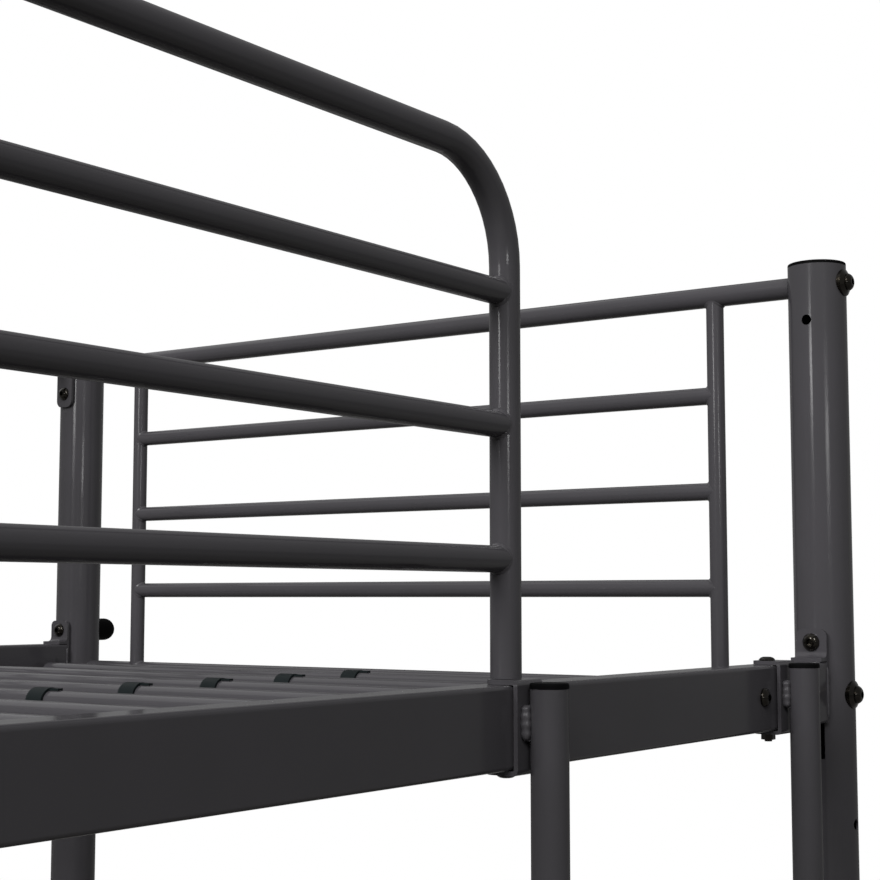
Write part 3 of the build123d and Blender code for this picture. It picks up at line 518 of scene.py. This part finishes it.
half_bead = Vector((0, 0, clip_bead_length / 2))
clip_seams = []
for side_name in ("left", "right"):
    stile_low, stile_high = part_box(f"ladder_stile_{side_name}")
    stile_x, stile_y = (stile_low.x + stile_high.x) / 2, (stile_low.y + stile_high.y) / 2
    for clip_box in solid_boxes(f"ladder_clips_{side_name}"):
        bead_z = clip_box[1].z - clip_bead_below_top
        for offset in (-clip_bead_offset, clip_bead_offset):
            bead_middle = Vector((stile_x + offset, stile_y + clip_bead_out, bead_z))
            clip_seams.append((bead_middle - half_bead, bead_middle + half_bead))
clip_mesh = bmesh.new()
for start, end in clip_seams:
    add_bead(clip_mesh, start, end, clip_bead_radius)
finish_piece("ladder_clip_welds", clip_mesh, powder_coated_weld)
print("clip beads", len(clip_seams))

# %% Weld the rail ends
seam_bead_radius = 1.3 * mm
rail_bead_margin = 5 * mm

seam_mesh = bmesh.new()
rail_seams = []
for level in ("upper", "lower"):
    for side_name in ("front", "back"):
        rail_low, rail_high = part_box(f"{level}_side_rail_{side_name}")
        for bead_x in (rail_low.x, rail_high.x):
            for bead_y in (rail_low.y, rail_high.y):
                rail_seams.append((Vector((bead_x, bead_y, rail_low.z + rail_bead_margin)),
                                   Vector((bead_x, bead_y, rail_high.z - rail_bead_margin))))
for start, end in rail_seams:
    add_bead(seam_mesh, start, end, seam_bead_radius)
print("rail beads", len(rail_seams))

# %% Weld the guard tabs
guard_tube_radius = 10 * mm
flat_radius = 5.0
upright = Vector((0, 0, 1))

tab_boxes = solid_boxes("guard_end_tabs")
for tab_low, tab_high in tab_boxes:
    inward = Vector((-1 if tab_low.x > 0 else 1, 0, 0))
    face_x = tab_low.x if inward.x < 0 else tab_high.x
    face_middle = Vector((face_x, (tab_low.y + tab_high.y) / 2, tab_high.z - guard_tube_radius))
    far_axis = face_middle - inward * flat_radius
    add_saddle_weld(seam_mesh, far_axis, inward, guard_tube_radius, upright, flat_radius)
print("tab welds", len(tab_boxes))

# %% Weld the hangers
hanger_plate = 3 * mm

hanger_seams = []
for hanger_low, hanger_high in solid_boxes("centre_beam_hangers"):
    plate_x = hanger_high.x if hanger_low.x > 0 else hanger_low.x
    inner_x = plate_x - math.copysign(hanger_plate, plate_x)
    for bead_x in (plate_x, inner_x):
        hanger_seams.append((Vector((bead_x, hanger_low.y, hanger_high.z)),
                             Vector((bead_x, hanger_high.y, hanger_high.z))))
for start, end in hanger_seams:
    add_bead(seam_mesh, start, end, seam_bead_radius)
finish_piece("seam_welds", seam_mesh, powder_coated_weld)
print("hanger beads", len(hanger_seams))

# %% [markdown]
# The photograph is a product picture on plain white. The floor is pale near the bed, where it takes a
# soft shadow, and it fades to white before the far edge, so that no line shows between floor and
# backdrop. Rays that only carry light from the floor up to the bed see a darker floor, because in the
# photograph the undersides of the tubes are nearly black. Glossy rays see the white dimmed as well: a coat
# that mirrored all of it would have a pale line down both edges of each tube, and those edges are dark.

# %% White backdrop
white_in_gloss = 0.1


def backdrop_share(tree):
    """1 for rays that show the backdrop, a small share for glossy rays and 0 for rays that carry light."""
    rays = add_node(tree, "ShaderNodeLightPath").outputs
    glossy = add_node(tree, "ShaderNodeMath", {0: rays["Is Glossy Ray"], 1: white_in_gloss},
                      operation="MULTIPLY")
    straight = add_node(tree, "ShaderNodeMath", {0: rays["Is Camera Ray"], 1: rays["Is Transmission Ray"]},
                        operation="MAXIMUM")
    both = add_node(tree, "ShaderNodeMath", {0: straight.outputs[0], 1: glossy.outputs[0]},
                    operation="MAXIMUM")
    return both.outputs[0]


print("share of the white in gloss", white_in_gloss)

# %% Floor
floor_size = 60.0
floor_pale = "#e6e6e4"
floor_bounce = "#4c4a48"
floor_roughness = 0.85
fade_start = 2.2
fade_end = 4.2


def pale_floor():
    """A big floor: pale and matt near the bed, white further off."""
    material, tree, shader, place = new_material("pale_studio_floor", Roughness=floor_roughness)
    seen = backdrop_share(tree)
    colour = add_node(tree, "ShaderNodeMix", {"Factor": seen, "A": linear(floor_bounce),
                                              "B": linear(floor_pale)}, data_type="RGBA")
    tree.links.new(colour.outputs["Result"], shader.inputs["Base Color"])
    distance = add_node(tree, "ShaderNodeVectorMath", {0: place}, operation="LENGTH")
    fade = add_node(tree, "ShaderNodeMapRange", {"Value": distance.outputs["Value"], "From Min": fade_start,
                                                 "From Max": fade_end}, interpolation_type="SMOOTHSTEP")
    share = add_node(tree, "ShaderNodeMath", {0: fade.outputs["Result"], 1: seen}, operation="MULTIPLY")
    white = add_node(tree, "ShaderNodeEmission", {"Color": linear("#ffffff"), "Strength": 1.0})
    both = add_node(tree, "ShaderNodeMixShader", {0: share.outputs[0], 1: shader.outputs[0],
                                                  2: white.outputs[0]})
    tree.links.new(both.outputs[0], tree.nodes["Material Output"].inputs["Surface"])
    return material


floor_mesh = bpy.data.meshes.new("studio_floor")
half_floor = floor_size / 2
floor_corners = [(-half_floor, -half_floor, 0), (half_floor, -half_floor, 0), (half_floor, half_floor, 0),
                 (-half_floor, half_floor, 0)]
floor_mesh.from_pydata(floor_corners, [], [(0, 1, 2, 3)])
floor_mesh.materials.append(pale_floor())
studio_floor = bpy.data.objects.new("studio_floor", floor_mesh)
bpy.context.scene.collection.objects.link(studio_floor)
print("floor", floor_size, "m across")

# %% [markdown]
# Two large key lamps stand high behind the camera, the stronger one to its left, because in the photograph
# the posts are brightest near their middle and darker at the right edge than at the left. Mirrored in the
# bed, lamps this large turn the black caps grey and the slats white where they are seen edge-on, so the
# keys light without a mirror image. Two smaller glint lamps, which do have one, give the bolts their sharp
# glints. Two strips stand where the two thin streaks on the post ask for them: a streak on an upright tube
# lies half way between the camera and its lamp. Soft lamps above, behind and on the far side keep the rest
# of the bed readable. The world is white where it is seen, and gives a low even light otherwise.

# %% Make a soft lamp
def soft_lamp(name, place, aim, width, height, watts):
    """A rectangular lamp that points at a place. The camera doesn't see it."""
    lamp = bpy.data.lights.new(name, "AREA")
    lamp.shape = "RECTANGLE"
    lamp.size, lamp.size_y, lamp.energy = width, height, watts
    holder = bpy.data.objects.new(name, lamp)
    bpy.context.scene.collection.objects.link(holder)
    holder.location = place
    holder.rotation_euler = (Vector(aim) - Vector(place)).to_track_quat("-Z", "Y").to_euler()
    holder.visible_camera = False
    return holder


def lamp_place(aim, heading, height_angle, distance):
    """The place at this distance from an aim, at a heading and a height angle in degrees."""
    turn, tilt = math.radians(heading), math.radians(height_angle)
    direction = Vector((math.cos(turn) * math.cos(tilt), math.sin(turn) * math.cos(tilt), math.sin(tilt)))
    return aim + direction * distance


bed_middle = (cad_box[0] + cad_box[1]) / 2
near_post_low, near_post_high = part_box("upper_post_front_right")
post_axis = (near_post_low + near_post_high) / 2
rail_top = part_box("upper_side_rail_front")[1].z
print("top of the front rail", round(rail_top, 3), "m up")

# %% Key and glint lamps
key_aim = Vector((0.4, 0.0, rail_top + 0.15))
key_height_angle = 31
key_distance = 6.0
key_size = 2.6
glint_distance = 5.5
glint_size = 1.3

for side_name, heading, watts in (("left", 190, 235), ("right", 228, 50)):
    place = lamp_place(key_aim, heading, key_height_angle, key_distance)
    key = soft_lamp(f"{side_name}_key_lamp", place, key_aim, key_size, key_size, watts)
    key.visible_glossy = False
for side_name, heading, watts in (("left", 172, 115), ("right", 228, 55)):
    place = lamp_place(key_aim, heading, key_height_angle, glint_distance)
    soft_lamp(f"{side_name}_glint_lamp", place, key_aim, glint_size, glint_size, watts)
print("key lamps", key_distance, "m away, glint lamps", glint_distance, "m away")

# %% Fill lamps
overhead_place, overhead_aim = (0.2, 0.1, 4.6), (0.2, 0, 0)
overhead_width, overhead_depth, overhead_watts = 4.6, 3.6, 12
back_fill_place = (1.2, 4.2, 4.8)
back_fill_size, back_fill_watts = 4.6, 28
far_fill_heading, far_fill_height_angle = 25, 12
far_fill_size, far_fill_watts = 3.0, 220

soft_lamp("overhead_lamp", overhead_place, overhead_aim, overhead_width, overhead_depth, overhead_watts)
soft_lamp("back_fill_lamp", back_fill_place, bed_middle, back_fill_size, back_fill_size, back_fill_watts)
far_fill_place = lamp_place(bed_middle, far_fill_heading, far_fill_height_angle, key_distance)
far_fill = soft_lamp("far_fill_lamp", far_fill_place, bed_middle, far_fill_size, far_fill_size,
                     far_fill_watts)
far_fill.visible_glossy = False
print("far fill lamp at", [round(value, 2) for value in far_fill_place])

# %% Streak lamps
streak_distance = 4.0
streak_width = 0.8
streak_aim = Vector((post_axis.x, post_axis.y, rail_top))

for side_name, heading, lift, length, watts in (("left", 174.7, 0.79, 0.26, 5.6),
                                                ("right", 230.7, 0.55, 0.12, 3.0)):
    place = lamp_place(streak_aim + Vector((0, 0, lift)), heading, 0, streak_distance)
    soft_lamp(f"{side_name}_streak_lamp", place, streak_aim, streak_width, length, watts)

# %% World
room_level = 0.12


def studio_world():
    """White where it counts as the backdrop, a low even light elsewhere."""
    world = bpy.data.worlds.new("studio_world")
    world.use_nodes = True
    tree = world.node_tree
    seen = backdrop_share(tree)
    level = add_node(tree, "ShaderNodeMapRange", {"Value": seen, "To Min": room_level, "To Max": 1.0})
    backdrop = tree.nodes["Background"]
    backdrop.inputs["Color"].default_value = linear("#ffffff")
    tree.links.new(level.outputs["Result"], backdrop.inputs["Strength"])
    return world


bpy.context.scene.world = studio_world()
print("room level", room_level)

# %% [markdown]
# The camera stands where the photograph was taken, 1.5 m from the near post, 0.6 m out from the front rail
# and just above it, and looks slightly up. Its place, turn and focal length came from one fit to the lines
# of the bars and rails, to the widths of the upright tubes, and to seven bolts, holes and corners whose
# place on the bed is known. The focal length is worked out in pixels and turned into millimetres for
# Blender's 36 mm sensor.

# %% Camera
image_width_px = 880
focal_length_px = 1693.4
sensor_width_mm = 36.0
camera_heading = math.radians(35.37)
camera_pitch = math.radians(5.325)
camera_from_post = Vector((-1405.0, -586.7)) * mm
camera_above_rail = 53.8 * mm
nearest_shown = 50 * mm

camera_data = bpy.data.cameras.new("photo_camera")
camera_data.sensor_width = sensor_width_mm
camera_data.lens = focal_length_px / image_width_px * sensor_width_mm
camera_data.clip_start = nearest_shown
camera = bpy.data.objects.new("photo_camera", camera_data)
bpy.context.scene.collection.objects.link(camera)
camera.location = (post_axis.x + camera_from_post.x, post_axis.y + camera_from_post.y,
                   rail_top + camera_above_rail)
camera.rotation_euler = (math.radians(90) + camera_pitch, 0, camera_heading - math.radians(90))
bpy.context.scene.camera = camera
bpy.context.scene.view_settings.view_transform = "Standard"
print("lens", round(camera_data.lens, 2), "mm")
